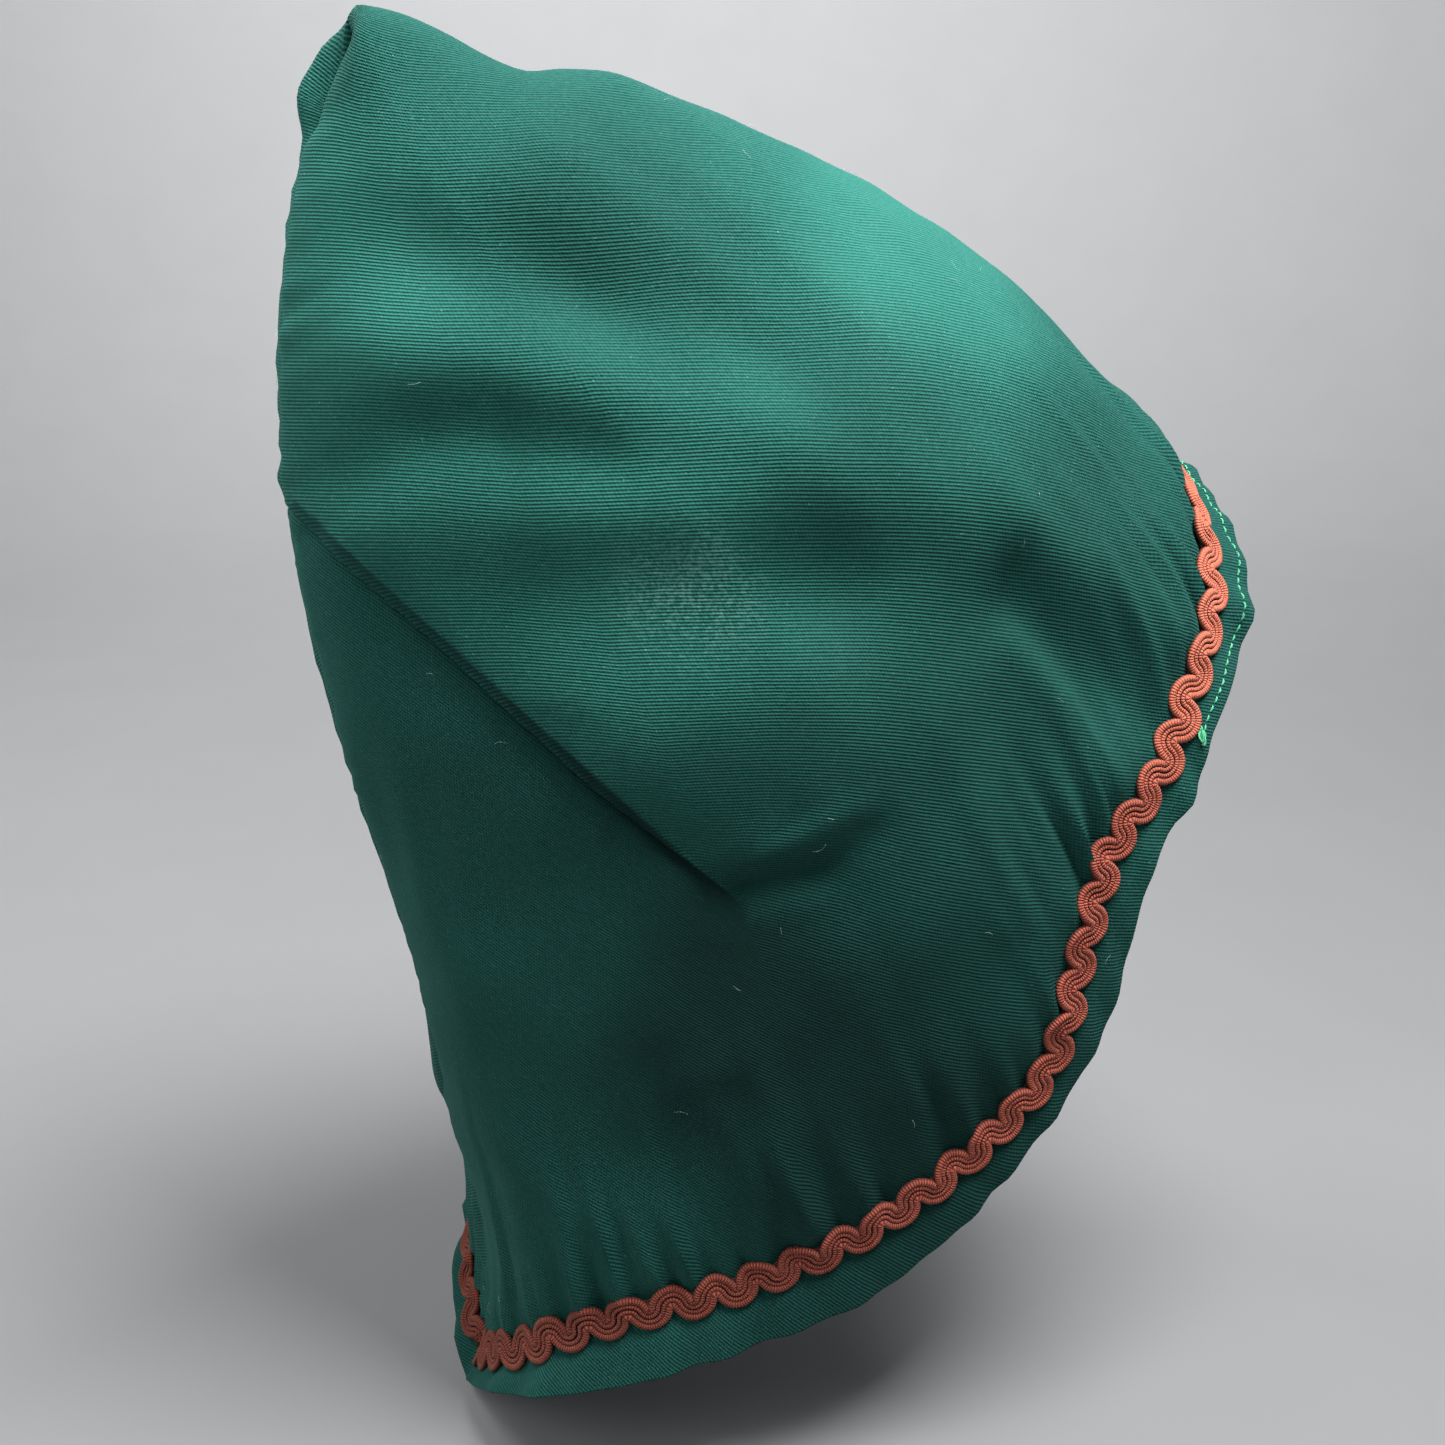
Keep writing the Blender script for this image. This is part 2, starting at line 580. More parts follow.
class Socket:  # a shader value; +, - and * on it add Math nodes
    def __init__(self, shader, link):
        self.shader, self.link = shader, link

    def math(self, operation, *others):
        values = {k + 1: other for k, other in enumerate(others)}
        return self.shader.node("ShaderNodeMath", {"operation": operation}, {0: self, **values})

    def __add__(self, other):
        return self.math("ADD", other)

    def __mul__(self, other):
        return self.math("MULTIPLY", other)

    def __sub__(self, other):
        return self.math("SUBTRACT", other)

    def __rsub__(self, other):
        return self * -1.0 + other

    __radd__ = __add__
    __rmul__ = __mul__


class Shader:
    def __init__(self, name):
        self.material = bpy.data.materials.new(name)
        self.material.use_nodes = True
        self.tree = self.material.node_tree
        self.tree.nodes.clear()

    def node(self, kind, settings=None, inputs=None, output=0):
        made = self.tree.nodes.new(kind)
        for key, value in (settings or {}).items():
            setattr(made, key, value)
        for key, value in (inputs or {}).items():
            socket = made.inputs[key]
            if isinstance(value, Socket):
                self.tree.links.new(value.link, socket)
            else:
                socket.default_value = (*value, 1.0) if socket.type == "RGBA" else value
        return Socket(self, made.outputs[output]) if made.outputs else None

    def place(self):
        return self.node("ShaderNodeNewGeometry", output="Position")

    def read(self, label):
        return self.node("ShaderNodeAttribute", {"attribute_name": label}, output="Vector")

    def noise(self, vector, scale, detail=2.0):
        inputs = {"Vector": vector, "Scale": scale, "Detail": detail, "Roughness": 0.5}
        return self.node("ShaderNodeTexNoise", {"noise_dimensions": "3D"}, inputs)

    def span(self, value, low, high, toLow=0.0, toHigh=1.0):
        inputs = {"Value": value, "From Min": low, "From Max": high, "To Min": toLow, "To Max": toHigh}
        return self.node("ShaderNodeMapRange", {"clamp": True}, inputs)

    def colour(self, factor, first, second):
        inputs = {0: factor, 6: first, 7: second}
        return self.node("ShaderNodeMix", {"data_type": "RGBA"}, inputs, output=2)

    def combine(self, x, y, z):
        return self.node("ShaderNodeCombineXYZ", None, {0: x, 1: y, 2: z})

    def split(self, vector, axis):
        return self.node("ShaderNodeSeparateXYZ", None, {0: vector}, output=axis)

    def bump(self, height, distance):
        inputs = {"Height": height, "Distance": distance, "Strength": 1.0}
        return self.node("ShaderNodeBump", None, inputs)

    def finish(self, **inputs):
        named = {key.replace("_", " "): value for key, value in inputs.items()}
        surface = self.node("ShaderNodeBsdfPrincipled", None, named)
        self.node("ShaderNodeOutputMaterial", None, {0: surface})
        return self.material


twillFinish = {
    "ridge": (0.018, 0.14, 0.112),
    "valley": (0.0035, 0.033, 0.027),
    "worn": (0.06, 0.2, 0.17),
    "speck": (0.2, 0.4, 0.36),
    "shaded": (0.002, 0.012, 0.011),
    "raised": (0.05, 0.28, 0.225),
    "fuzz": (0.25, 0.75, 0.65),
    "patch": (-0.069, 0.077, -0.1016),  # m, the middle of the worn place on the right side
    "patchReach": 0.024,
    "sheen": 0.09,
    "relief": 0.0002,
    "pick": 0.95,  # mm from one cross thread to the next
    "drift": 45.0,  # noise scales, per m
    "cloud": 38.0,
    "wear": 14.0,
    "mottle": 900.0,
    "fleck": 1500.0,
}
gimpFinish = {
    "lit": (0.52, 0.127, 0.08),
    "bright": (0.75, 0.215, 0.13),
    "deep": (0.13, 0.021, 0.015),
    "crevice": (0.025, 0.005, 0.004),
    "wrap": 0.8,  # mm from one turn of the wrapping thread to the next
    "relief": 0.00022,
    "sheen": 0.12,
    "sheenTint": (0.95, 0.6, 0.45),
    "fibre": 2600.0,  # noise scales, per m
    "patchy": 160.0,
}


def twillMaterial():
    sh = Shader("greenTwill")
    laid = sh.read("weave")
    across, along = sh.split(laid, 0), sh.split(laid, 1)
    place = sh.place()
    drift = sh.noise(place, twillFinish["drift"])
    lines = (across * (1 / weave["wale"]) + (drift - 0.5) * 0.25) * (2 * math.pi)
    wale = lines.math("SINE") * 0.5 + 0.5
    yarn = sh.noise(sh.combine(across * 3.2, along * 0.9, 0.0), 1.0)
    thread = along * (2 * math.pi / twillFinish["pick"]) + across * 3.4 + drift * 3.0
    thread = thread.math("SINE") * 0.5 + 0.5
    mottled = sh.noise(place, twillFinish["mottle"])
    cloudy = sh.noise(place, twillFinish["cloud"], 3.0)
    worn = sh.span(sh.noise(place, twillFinish["wear"], 3.0), 0.55, 0.75) * sh.span(cloudy, 0.4, 0.7)
    flecks = sh.span(sh.noise(place, twillFinish["fleck"], 1.0), 0.72, 0.8)
    ends = {0: place, 1: twillFinish["patch"]}
    fromPatch = sh.node("ShaderNodeVectorMath", {"operation": "DISTANCE"}, ends, output=1)
    patch = sh.span(fromPatch, twillFinish["patchReach"], 0.004)
    patch = patch * sh.span(mottled + cloudy * 0.5, 0.68, 0.9)
    nap = sh.split(laid, 2)
    tone = wale * 0.44 + yarn * 0.36 + thread * 0.2
    base = sh.colour(sh.span(tone, 0.2, 0.8), twillFinish["valley"], twillFinish["ridge"])
    for share, colour in (
        (worn * 0.22, "worn"), (sh.span(mottled, 0.35, 0.75) * 0.22, "worn"), (flecks * 0.5, "speck"),
        (patch * 0.28, "speck"), (nap * -0.45, "raised"), (nap, "shaded"),
    ):
        base = sh.colour(share, base, twillFinish[colour])
    height = wale + thread * 0.22 + (yarn - 0.5) * 0.5 + (mottled - 0.5) * 0.35
    normal = sh.bump(height, twillFinish["relief"])
    rough = sh.span(wale, 0.0, 1.0, 0.95, 0.8)
    return sh.finish(
        Base_Color=base, Roughness=rough, Normal=normal,
        Sheen_Weight=twillFinish["sheen"], Sheen_Roughness=0.5, Sheen_Tint=twillFinish["fuzz"],
        Specular_IOR_Level=0.08,
    )


def gimpMaterial():
    sh = Shader("terracottaGimp")
    laid = sh.read("wrap")
    turns, high, dull = (sh.split(laid, axis) for axis in range(3))
    place = sh.place()
    ribs = (turns * (2 * math.pi / gimpFinish["wrap"])).math("SINE") * 0.5 + 0.5
    fibre = sh.noise(place, gimpFinish["fibre"])
    tone = ribs * 0.5 + fibre * 0.3 + sh.noise(place, gimpFinish["patchy"], 3.0) * 0.3
    base = sh.colour(sh.span(tone, 0.25, 0.9), gimpFinish["deep"], gimpFinish["lit"])
    base = sh.colour(dull * -1.0, base, gimpFinish["bright"])
    base = sh.colour(dull, base, gimpFinish["crevice"])
    base = sh.colour(sh.span(high, 0.88, 0.5) * 0.9, base, gimpFinish["crevice"])
    normal = sh.bump(ribs + (fibre - 0.5) * 0.5, gimpFinish["relief"])
    return sh.finish(
        Base_Color=base, Roughness=0.9, Normal=normal,
        Sheen_Weight=gimpFinish["sheen"], Sheen_Roughness=0.5, Sheen_Tint=gimpFinish["sheenTint"],
        Specular_IOR_Level=0.2,
    )


def threadMaterial(name, colour, dark):
    sh = Shader(name)
    twist = sh.noise(sh.place(), 1800.0)
    base = sh.colour(sh.span(twist, 0.3, 0.7), dark, colour)
    return sh.finish(Base_Color=base, Roughness=0.75, Normal=sh.bump(twist, 0.00006), Sheen_Weight=0.3)


greenTwill = twillMaterial()
terracottaGimp = gimpMaterial()
stitchGreen = threadMaterial("stitchGreen", (0.1, 0.6, 0.3), (0.03, 0.3, 0.14))
paleLint = threadMaterial("paleLint", (0.4, 0.5, 0.45), (0.2, 0.32, 0.28))


def clothMesh():
    rows, around = outer.shape[:2]
    innerStart = 5  # the inside stops short of the tip
    innerRows = hollowed[innerStart:]
    innerTip = innerRows[0].mean(0) * 0.7 + tip * 0.3
    tips = [outer[0].mean(0) * 0.3 + tip * 0.7, innerTip]
    points = np.concatenate([tips, outer.reshape(-1, 3), innerRows.reshape(-1, 3)])
    outerAt = 2 + np.arange(rows * around).reshape(rows, around)
    innerAt = 2 + rows * around + np.arange(innerRows.shape[0] * around).reshape(-1, around)
    values = ringOf(weaveValues, weaveValues)  # the right half as laid, the left half mirrored
    valuesNext = np.roll(values, -1, axis=1)
    faces, corners = [], []

    def addBand(a, b, c, d, va, vb, vc, vd):
        faces.append(np.stack([a, b, c, d], -1).reshape(-1, 4))
        corners.append(np.stack([va, vb, vc, vd], -2).reshape(-1, 4, 2))

    nextOuter = np.roll(outerAt, -1, axis=1)
    nextInner = np.roll(innerAt, -1, axis=1)
    addBand(outerAt[:-1], nextOuter[:-1], nextOuter[1:], outerAt[1:],
            values[:-1], valuesNext[:-1], valuesNext[1:], values[1:])
    innerValues, innerNext = values[innerStart:], valuesNext[innerStart:]
    addBand(innerAt[:-1], innerAt[1:], nextInner[1:], nextInner[:-1],
            innerValues[:-1], innerValues[1:], innerNext[1:], innerNext[:-1])
    addBand(outerAt[-1], nextOuter[-1], nextInner[-1], innerAt[-1],
            values[-1], valuesNext[-1], valuesNext[-1], values[-1])
    quads = np.concatenate(faces)
    cornerValues = np.concatenate(corners).reshape(-1, 2)
    tipFaces = np.stack([np.zeros(around, int), nextOuter[0], outerAt[0]], -1)
    innerTipFaces = np.stack([np.ones(around, int), innerAt[0], nextInner[0]], -1)
    tipValues = np.stack([values[0], valuesNext[0], values[0]], 1).reshape(-1, 2)
    innerValues = np.stack([innerValues[0], innerValues[0], innerNext[0]], 1).reshape(-1, 2)
    allFaces = quads.tolist() + tipFaces.tolist() + innerTipFaces.tolist()
    allValues = np.concatenate([cornerValues, tipValues, innerValues])
    allValues = np.concatenate([allValues, np.zeros((len(allValues), 1))], axis=1)
    return points, allFaces, allValues


# How the nap lies, seen from the side: forward, up, how much darker (below 0: lighter).
nap = {"reach": 22.0, "below": 0.2, "belowReach": 30.0, "crease": 0.4, "creaseReach": 3.5, "most": 0.93}
napPlaces = np.array([
    (0.6, 0.84, -0.6), (0.05, 0.88, -0.5), (0.13, 0.95, 0.2),  # brushed up, and flat at the tip
    (0.27, 0.88, 0.35), (0.54, 0.75, 0.3), (0.3, 0.68, -0.1),
    (0.74, 0.66, 0.45), (0.62, 0.55, 0.5), (0.85, 0.52, 0.4),  # laid flat towards the braid
    (0.15, 0.45, 0.4), (0.38, 0.37, 0.87), (0.5, 0.29, 0.85), (0.22, 0.17, 0.42),  # and below the dart
])


def deepening(points):  # how much darker the napped cloth looks at each point
    forward, up = -points[:, 1] / form["depth"], points[:, 2] / form["height"]
    total, weight = np.zeros(len(points)), np.full(len(points), 1e-9)
    for x, z, share in napPlaces:
        away = np.hypot((forward - x) * form["depth"], (up - z) * form["height"])
        near = bell(away / nap["reach"]) + 0.02 * bell(away / (4 * nap["reach"])) + 1e-6
        total += near * share
        weight += near
    share, above = fromDart(points)
    low = np.minimum(above, 0)
    below = nap["below"] * (1 - ease(0.85, 1.2, share)) * (above < 0) * bell(low / nap["belowReach"])
    crease = (1 - ease(0.9, 1.05, share)) * (share > 0) * (above < 0.3) * bell(low / nap["creaseReach"])
    return np.clip(total / weight + below + nap["crease"] * crease, -1, nap["most"])


clothPoints, clothFaces, clothCorners = clothMesh()
clothCorners[:, 2] = atCorners(deepening(clothPoints), clothFaces)
hoodCloth = meshObject("hoodCloth", clothPoints, clothFaces, greenTwill, "green_twill",
                       {"weave": clothCorners}, ["hood_cloth"])
print("cloth made", len(clothFaces), "faces")


# The braid's line, from the nape up the right side, over the forehead and down the left.
def edgeRoute():
    way = np.linspace(1, -1, 2401)
    at = np.abs(way)
    down = 1 - readTable(hemLine, "inset", at) / ribLength(at)
    points = np.where((way >= 0)[:, None], clothSide(-1, at, down), clothSide(1, at, down))
    return way, lengthsAlong(points), points


routeWay, routeLength, routePoints = edgeRoute()


def onCloth(way, fromHem):
    at = np.clip(np.abs(way), 0, 1)
    down = 1 - fromHem / ribLength(at)
    return np.where((way >= 0)[..., None], clothSide(-1, at, down), clothSide(1, at, down))


def clothWays(way, fromHem):  # how the cloth runs along the hem and away from it, and which way is out
    turn, step = 0.003, 0.8
    ahead, behind = np.clip(way + turn, -1, 1), np.clip(way - turn, -1, 1)
    along = (onCloth(ahead, fromHem) - onCloth(behind, fromHem)) / (ahead - behind)[..., None]
    inward = (onCloth(way, fromHem + step) - onCloth(way, fromHem - step)) / (2 * step)
    return along, inward, unit(np.cross(inward, along))


def routeAt(length, marks, values):  # a row of three values at each length
    return np.stack([np.interp(length, marks, values[:, k]) for k in range(3)], -1)


def edgeFrame(length, across):  # point and outward way at a length along the braid and across it
    way = np.interp(length, routeLength, routeWay)
    inset = readTable(hemLine, "inset", np.abs(way))
    ahead, behind = (routeAt(length + step, routeLength, routePoints) for step in (2.0, -2.0))
    run = unit(ahead - behind)
    along, inward, normal = clothWays(way, inset)
    aim = np.cross(run, normal) * across[..., None]
    aa, ab, bb = np.sum(along * along, -1), np.sum(along * inward, -1), np.sum(inward * inward, -1)
    ra, rb = np.sum(aim * along, -1), np.sum(aim * inward, -1)
    whole = aa * bb - ab**2
    way = np.clip(way + (bb * ra - ab * rb) / whole, -1, 1)
    fromHem = inset + (aa * rb - ab * ra) / whole
    return onCloth(way, fromHem), clothWays(way, fromHem)[2]


def ribbonFrame():  # where the flat braid lies: its middle, across and up at each mm of its length
    length = np.arange(0, routeLength[-1] + 1, 1.0)
    ends, rise = [], []
    for across in (-5.5, 5.5):
        ends.append(edgeFrame(length, np.full(length.shape, across))[0])
    middle, normal = edgeFrame(length, np.zeros(length.shape))
    reach = 9  # mm that the smoothing takes in
    spread = np.exp(-0.5 * (np.arange(-reach, reach + 1) / 3.0) ** 2)
    spread /= spread.sum()

    def smoothed(values):
        first, last = np.repeat(values[:1], reach, 0), np.repeat(values[-1:], reach, 0)
        padded = np.concatenate([first, values, last])
        return np.stack([np.convolve(padded[:, k], spread, "valid") for k in range(values.shape[1])], 1)

    across = unit(smoothed(ends[1] - ends[0]))
    middle = smoothed(middle)
    run = unit(np.gradient(middle, axis=0))
    across = unit(across - run * np.sum(across * run, -1, keepdims=True))
    up = unit(np.cross(across, run))
    up *= np.sign(np.sum(up * normal, -1, keepdims=True))
    for offset in (-4.5, -2.2, 0.0, 2.2, 4.5):
        there = edgeFrame(length, np.full(length.shape, offset))[0]
        rise.append(np.sum((there - middle) * up, -1))
    rise = np.max(rise, 0)
    return length, middle + up * smoothed(rise[:, None]), across, up


ribbonLength, ribbonMiddle, ribbonAcross, ribbonUp = ribbonFrame()


def onRibbon(length, across, height):
    ways = (ribbonMiddle, ribbonAcross, ribbonUp)
    middle, side, up = (routeAt(length, ribbonLength, values) for values in ways)
    up = unit(up)
    return middle + unit(side) * across[..., None] + up * height[..., None], up


print("edge runs", round(float(routeLength[-1])), "mm")


def ringFaces(rings, sides):  # side faces and two caps for rings of points in a row
    k = np.arange(rings - 1)[:, None] * sides
    j = np.arange(sides)[None, :]
    faces = np.stack([k + j, k + (j + 1) % sides, k + sides + (j + 1) % sides, k + sides + j], -1)
    caps = [list(range(sides))[::-1], [(rings - 1) * sides + n for n in range(sides)]]
    return faces.reshape(-1, 4).tolist() + caps


def tube(path, normals, radius, sides, flat=1.0):  # rings of points round a path
    tangent = unit(np.gradient(path, axis=0))
    across = unit(np.cross(tangent, normals))
    up = np.cross(across, tangent)
    turn = np.linspace(0, 2 * math.pi, sides, endpoint=False)[None, :, None]
    radius = np.broadcast_to(np.asarray(radius, float), (len(path),))[:, None, None]
    ring = across[:, None] * np.cos(turn) + flat * up[:, None] * np.sin(turn)
    return (path[:, None] + radius * ring).reshape(-1, 3), ringFaces(len(path), sides)


def joined(parts):  # several (points, faces) as one
    points, faces, start = [], [], 0
    for partPoints, partFaces in parts:
        points.append(partPoints)
        faces += [[start + n for n in face] for face in partFaces]
        start += len(partPoints)
    return np.concatenate(points), faces


braid = {
    "pitch": 13.8,  # from one scallop to the next on the same side
    "turn": 77.0,  # degrees that the bundle crosses the middle line at
    # from the bundle's middle, radius, raised by
    "cords": ((-2.6, 1.22, 0.15), (-0.84, 0.74, 0.42), (0.84, 0.74, 0.42), (2.6, 1.22, 0.15)),
    "lift": 0.6,  # of the cords' middles over the cloth
    "steps": 32,  # sections for each pitch
    "sides": 8,
    "flat": 0.92,
    "endGap": 0.8,
    # across and up, the strip that the cords are bound on
    "strip": ((-2.6, -0.9), (2.6, -0.9), (2.6, 0.3), (0.0, 0.5), (-2.6, 0.3)),
}


def cordLoop(offset):  # one pitch of a cord, along and across: two arcs, one to each side
    turn, quarter = math.radians(braid["turn"]), braid["pitch"] / 4
    radius = quarter / math.sin(turn)
    half = braid["steps"] // 2
    along, across = [], []
    for k, side in enumerate((1, -1)):
        angle = math.pi / 2 + turn * np.linspace(1, -1, half, endpoint=False)
        reach = radius + side * offset
        along.append(quarter * (1 + 2 * k) + reach * np.cos(angle))
        across.append(side * (reach * np.sin(angle) - radius * math.cos(turn)))
    return np.concatenate(along), np.concatenate(across)


def dulled(points):  # darker low down, lighter at the forehead
    up = points[:, 2] / form["height"]
    return 0.5 * ease(0.3, 0.1, up) - 0.5 * ease(0.46, 0.6, up)


def braidMesh():
    total = routeLength[-1] - 2 * braid["endGap"]
    count = round(total / braid["pitch"])
    scale = total / (count * braid["pitch"])
    sides = braid["sides"]
    high = 0.5 + 0.5 * np.sin(np.linspace(0, 2 * math.pi, sides, endpoint=False))
    parts, wraps = [], []
    for offset, radius, raised in braid["cords"]:
        x, y = cordLoop(offset)
        along = (x[None, :] + braid["pitch"] * np.arange(count)[:, None]).ravel()
        across = np.tile(y, count)
        along = braid["endGap"] + np.clip(along, 0, count * braid["pitch"]) * scale
        keep = np.concatenate([[True], np.hypot(np.diff(along), np.diff(across)) > 0.05])
        along, across = along[keep], across[keep]
        wobble = 0.08 * edgeWaves(along, 9, 300 + int(offset * 10))
        path, up = onRibbon(along, across, braid["lift"] + raised + wobble)
        points, faces = tube(path, up, radius, sides, braid["flat"])
        turns = np.repeat(lengthsAlong(path), sides)
        wrap = np.stack([turns, np.tile(high, len(path)), dulled(points)], 1)
        parts.append((points, faces))
        wraps.append(atCorners(wrap, faces))
    along = np.linspace(braid["endGap"], routeLength[-1] - braid["endGap"], int(total / 1.6))
    level = np.ones(along.shape)
    strip = [onRibbon(along, x * level, z * level)[0] for x, z in braid["strip"]]
    faces = ringFaces(len(along), len(strip))
    length = np.repeat(along, len(strip))
    parts.append((np.stack(strip, 1).reshape(-1, 3), faces))
    wraps.append(atCorners(np.stack([length, 0 * length, 0 * length], 1), faces))
    return *joined(parts), np.concatenate(wraps)


braidPoints, braidFaces, braidWrap = braidMesh()
gimpBraid = meshObject("gimpBraid", braidPoints, braidFaces, terracottaGimp, "terracotta_gimp",
                       {"wrap": braidWrap}, ["gimp_braid"])
print("braid made", len(braidFaces), "faces")


stitching = {
    "period": 3.1,
    "length": 2.3,
    "radius": 0.3,
    "fromHem": 4.2,
    "reach": 124.0,  # along the hem to each side of the forehead
    "barTack": {"fromHem": 5.0, "size": 1.9, "count": 9, "rise": 0.6},
    "knot": {"fromHem": 3.0, "size": 1.5, "count": 7, "rise": 2.0},  # at the forehead
}


def hemWay(along):  # the hem's share at a length from the forehead
    return np.interp(along, hemArc, hemShares)


def stitchMesh():
    parts = []
    random = np.random.default_rng(5)
    for side in (1, -1):
        for start in np.arange(0.6, stitching["reach"], stitching["period"]):
            along = start + np.linspace(0, stitching["length"], 7) + random.uniform(-0.15, 0.15)
            way = side * hemWay(along)
            fromHem = stitching["fromHem"] + 0.7 * edgeWaves(along * side, 30, 7)
            fromHem += random.uniform(-0.15, 0.15)
            normal = edgeFrame(np.interp(-way, -routeWay, routeLength), np.zeros(7))[1]
            arch = np.sin(np.linspace(0, math.pi, 7))
            path = onCloth(way, fromHem) + normal * (0.32 * arch - 0.12)[:, None]
            parts.append(tube(path, normal, stitching["radius"] * (0.55 + 0.45 * arch), 6))
        parts += tangle(side * hemWay(stitching["reach"] + 2), random, **stitching["barTack"])
    parts += tangle(0.012, random, **stitching["knot"])
    return joined(parts)


def tangle(way, random, fromHem, size, count, rise):  # short loops of thread lying over each other
    parts = []
    way, fromHem = np.array([way]), np.array([fromHem])
    middle = onCloth(way, fromHem)[0]
    along, inward, normal = (unit(v)[0] for v in clothWays(way, fromHem))
    t = np.linspace(0, 1, 12)[:, None]
    for _ in range(count):
        phase = random.uniform(0, 2 * math.pi, 4)
        swirl = np.sin(2 * math.pi * t * random.uniform(0.4, 1.0) + phase[0]) * along
        swirl += np.cos(2 * math.pi * t * random.uniform(0.4, 1.0) + phase[1]) * inward
        lift = rise * (0.4 + 0.6 * np.sin(math.pi * t)) * (1 + random.uniform(0, 1.2))
        path = middle + size * swirl * random.uniform(0.5, 1.0) + normal * lift
        parts.append(tube(path, np.tile(normal, (12, 1)) + 0.01, stitching["radius"] * 0.8, 5))
    return parts


topstitch = meshObject("topstitch", *stitchMesh(), stitchGreen, "green_twill")
print("topstitching made")


lint = {"count": 70, "radius": 0.04, "length": (1.5, 5.0)}


def lintMesh():
    parts = []
    random = np.random.default_rng(23)
    rows, columns = outer.shape[:2]
    outerNormals = ringNormals(outer)
    for _ in range(lint["count"]):
        row, column = random.integers(20, rows - 12), random.integers(0, columns - 1)
        start = outer[row, column]
        normal = outerNormals[row, column]
        first = unit(outer[row, (column + 1) % columns] - start)
        second = np.cross(normal, first)
        turn, curl = random.uniform(0, 2 * math.pi), random.uniform(-1.6, 1.6)
        step = random.uniform(*lint["length"]) / 8
        t = np.linspace(0, 1, 9)
        angle = (turn + curl * t)[:, None]
        path = start + np.cumsum(step * (np.cos(angle) * first + np.sin(angle) * second), 0)
        path = path + normal * (0.35 + 0.3 * np.sin(math.pi * t))[:, None]
        parts.append(tube(path, np.tile(normal, (9, 1)), lint["radius"], 4))
    return joined(parts)


lintFibres = meshObject("lintFibres", *lintMesh(), paleLint, "green_twill")
print("lint laid")


view = {
    "from": (-427.7, 198.9, -21.3),  # mm in the row frame
    "pitch": 17.0,
    "turn": 20.0,
    "lens": 36 * 1500 / 1445,
}


stage = {
    "floorDark": (0.235, 0.237, 0.243),
    "floorPale": (0.25, 0.252, 0.258),
    "flat": 1.5,  # m, radius of the level floor
    "bend": 1.0,
    "wall": 3.0,
    "corners": 96,
    "top": 20.0,  # W
    "back": 4.5,
    "floor": 9.0,
    "sweep": 100.0,
    "otherSweeps": 18.0,  # out of the photo's view
    "world": 0.02,
}


def makeCamera():
    pitch, turn = math.radians(view["pitch"]), math.radians(view["turn"])
    level = math.cos(pitch)
    forward = Vector((math.cos(turn) * level, -math.sin(turn) * level, -math.sin(pitch)))
    data = bpy.data.cameras.new("camera")
    data.sensor_width = 36
    data.lens = view["lens"]
    data.clip_start, data.clip_end = 0.01, 30
    camera = bpy.data.objects.new("camera", data)
    bpy.context.scene.collection.objects.link(camera)
    camera.location = Vector(view["from"]) * mm
    camera.rotation_euler = forward.to_track_quat("-Z", "Y").to_euler()
    bpy.context.scene.camera = camera


def softLight(name, place, target, size, power):
    data = bpy.data.lights.new(name, "AREA")
    data.shape, data.size, data.size_y = "RECTANGLE", *size
    data.energy = power
    lamp = bpy.data.objects.new(name, data)
    bpy.context.scene.collection.objects.link(lamp)
    lamp.location = place
    lamp.rotation_euler = (Vector(target) - Vector(place)).to_track_quat("-Z", "Y").to_euler()


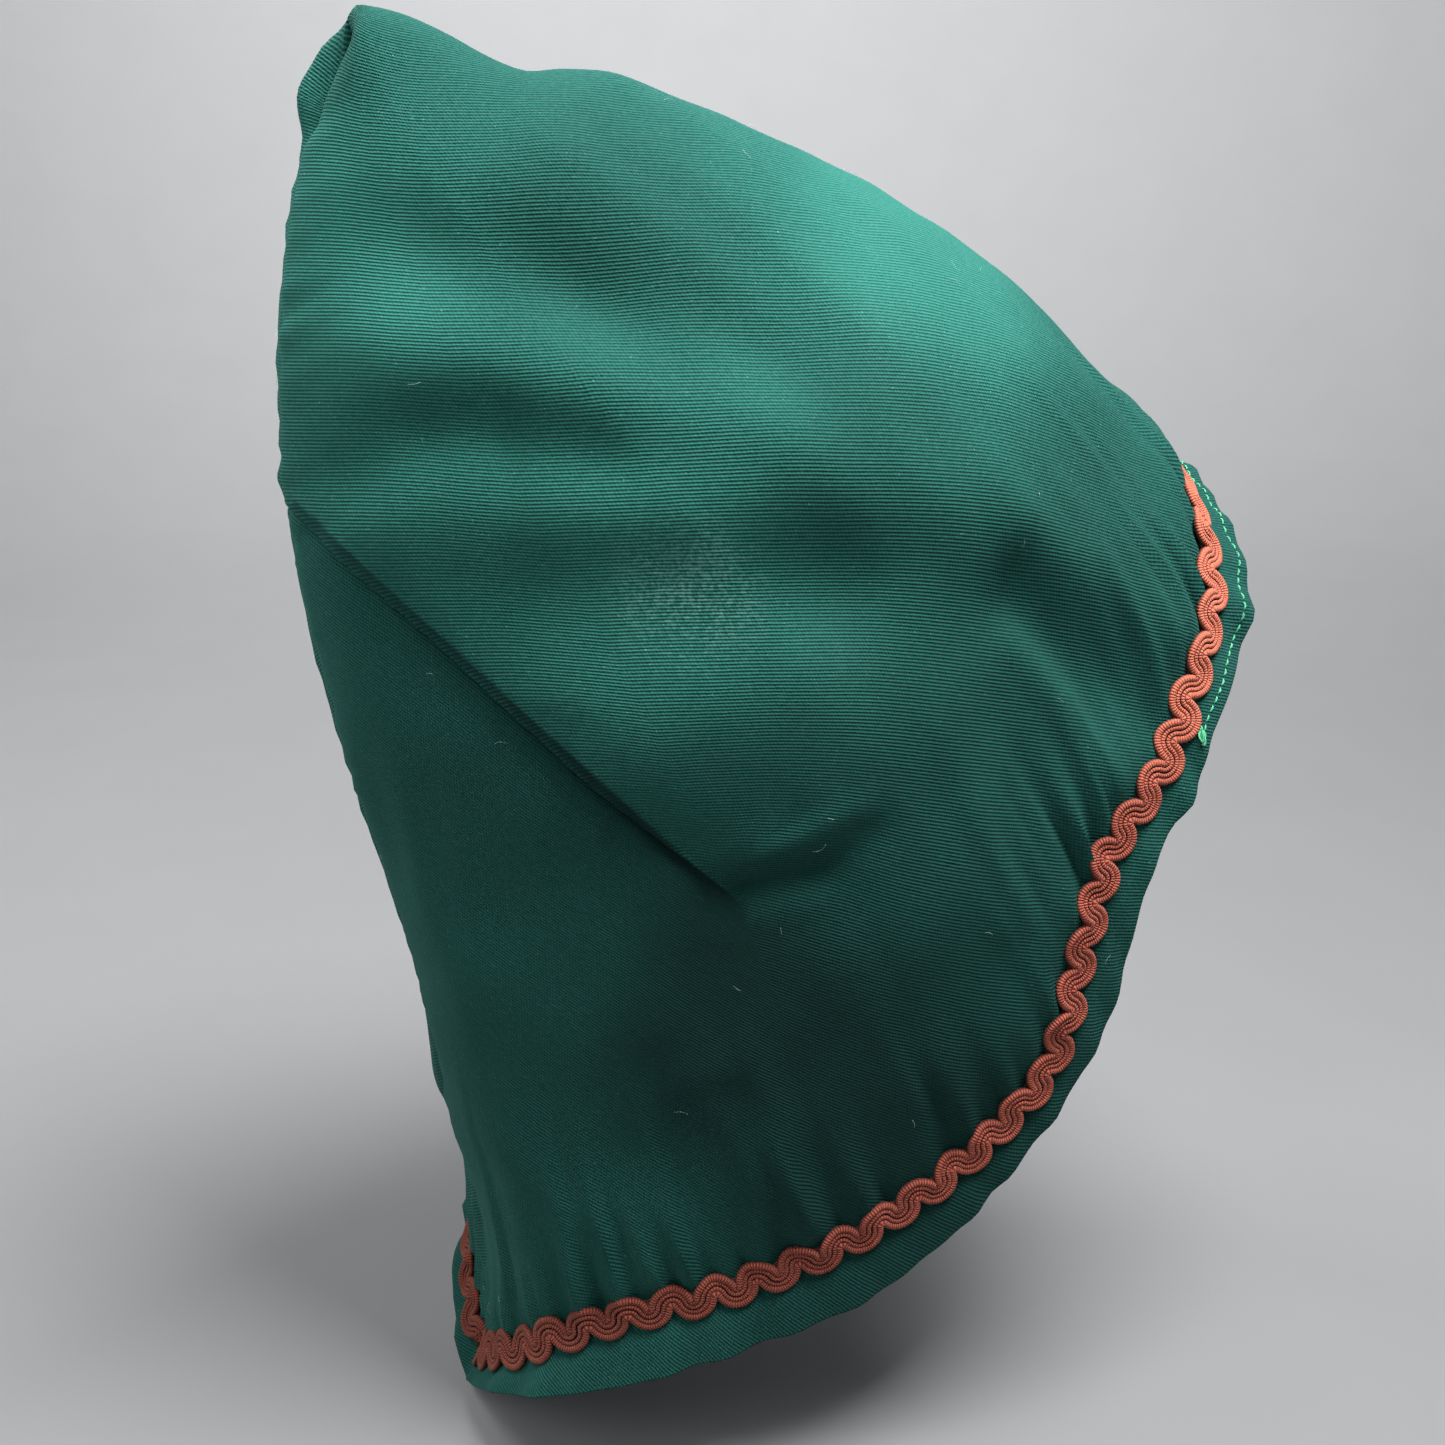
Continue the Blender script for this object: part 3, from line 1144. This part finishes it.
def makeFloor():  # a round floor that sweeps up into a wall all round
    low = min(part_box("hood_cloth")[0].z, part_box("gimp_braid")[0].z) - 0.001
    sh = Shader("paleFloor")
    speck = sh.noise(sh.place(), 12.0, 3.0)
    tint = sh.colour(speck, stage["floorDark"], stage["floorPale"])
    material = sh.finish(Base_Color=tint, Roughness=0.75, Specular_IOR_Level=0.25)
    turn = np.linspace(0, math.pi / 2, 13)
    flat, bend, count = stage["flat"], stage["bend"], stage["corners"]
    radius = np.concatenate([[0.4, 1.0], flat + bend * np.sin(turn), [flat + bend]])
    height = np.concatenate([[0, 0], bend * (1 - np.cos(turn)), [stage["wall"]]])
    around = np.linspace(0, 2 * math.pi, count, endpoint=False)
    points = [(0, 0, low)]
    for r, h in zip(radius, height):
        points += [(r * math.cos(a), r * math.sin(a), low + h) for a in around]
    faces = [(0, 1 + k, 1 + (k + 1) % count) for k in range(count)]
    for ring in range(len(radius) - 1):
        for k in range(count):
            a, b = 1 + ring * count + k, 1 + ring * count + (k + 1) % count
            faces.append((a, a + count, b + count, b))
    mesh = bpy.data.meshes.new("floor")
    mesh.from_pydata(points, [], faces)
    mesh.polygons.foreach_set("use_smooth", np.ones(len(faces), bool))
    mesh.materials.append(material)
    floor = bpy.data.objects.new("floor", mesh)
    bpy.context.scene.collection.objects.link(floor)


def makeWorld():
    world = bpy.data.worlds.new("paleStudio")
    bpy.context.scene.world = world
    world.use_nodes = True
    world.node_tree.nodes["Background"].inputs[0].default_value = (0.62, 0.63, 0.66, 1)
    world.node_tree.nodes["Background"].inputs[1].default_value = stage["world"]


makeCamera()
softLight("topLight", (-0.25, -0.13, 0.66), (0, 0, -0.1), (0.42, 0.42), stage["top"])
softLight("backLight", (-0.4, 0.9, 0.5), (0, 0, -0.1), (0.6, 0.6), stage["back"])
softLight("floorLight", (0.6, 0.75, 0.6), (0.15, 0.15, -0.38), (0.5, 0.5), stage["floor"])
softLight("sweepLight", (1.3, -0.3, 1.7), (2.3, -0.8, 1.0), (1.2, 1.2), stage["sweep"])
for name, x, y in (("frontSweep", -0.3, -1.3), ("sideSweep", -1.3, 0.3), ("backSweep", 0.3, 1.3)):
    softLight(name, (x, y, 1.7), (2.0 * x, 2.0 * y, 1.0), (1.2, 1.2), stage["otherSweeps"])
bpy.context.scene.view_settings.view_transform = "Standard"
makeFloor()
makeWorld()
print("stage set")
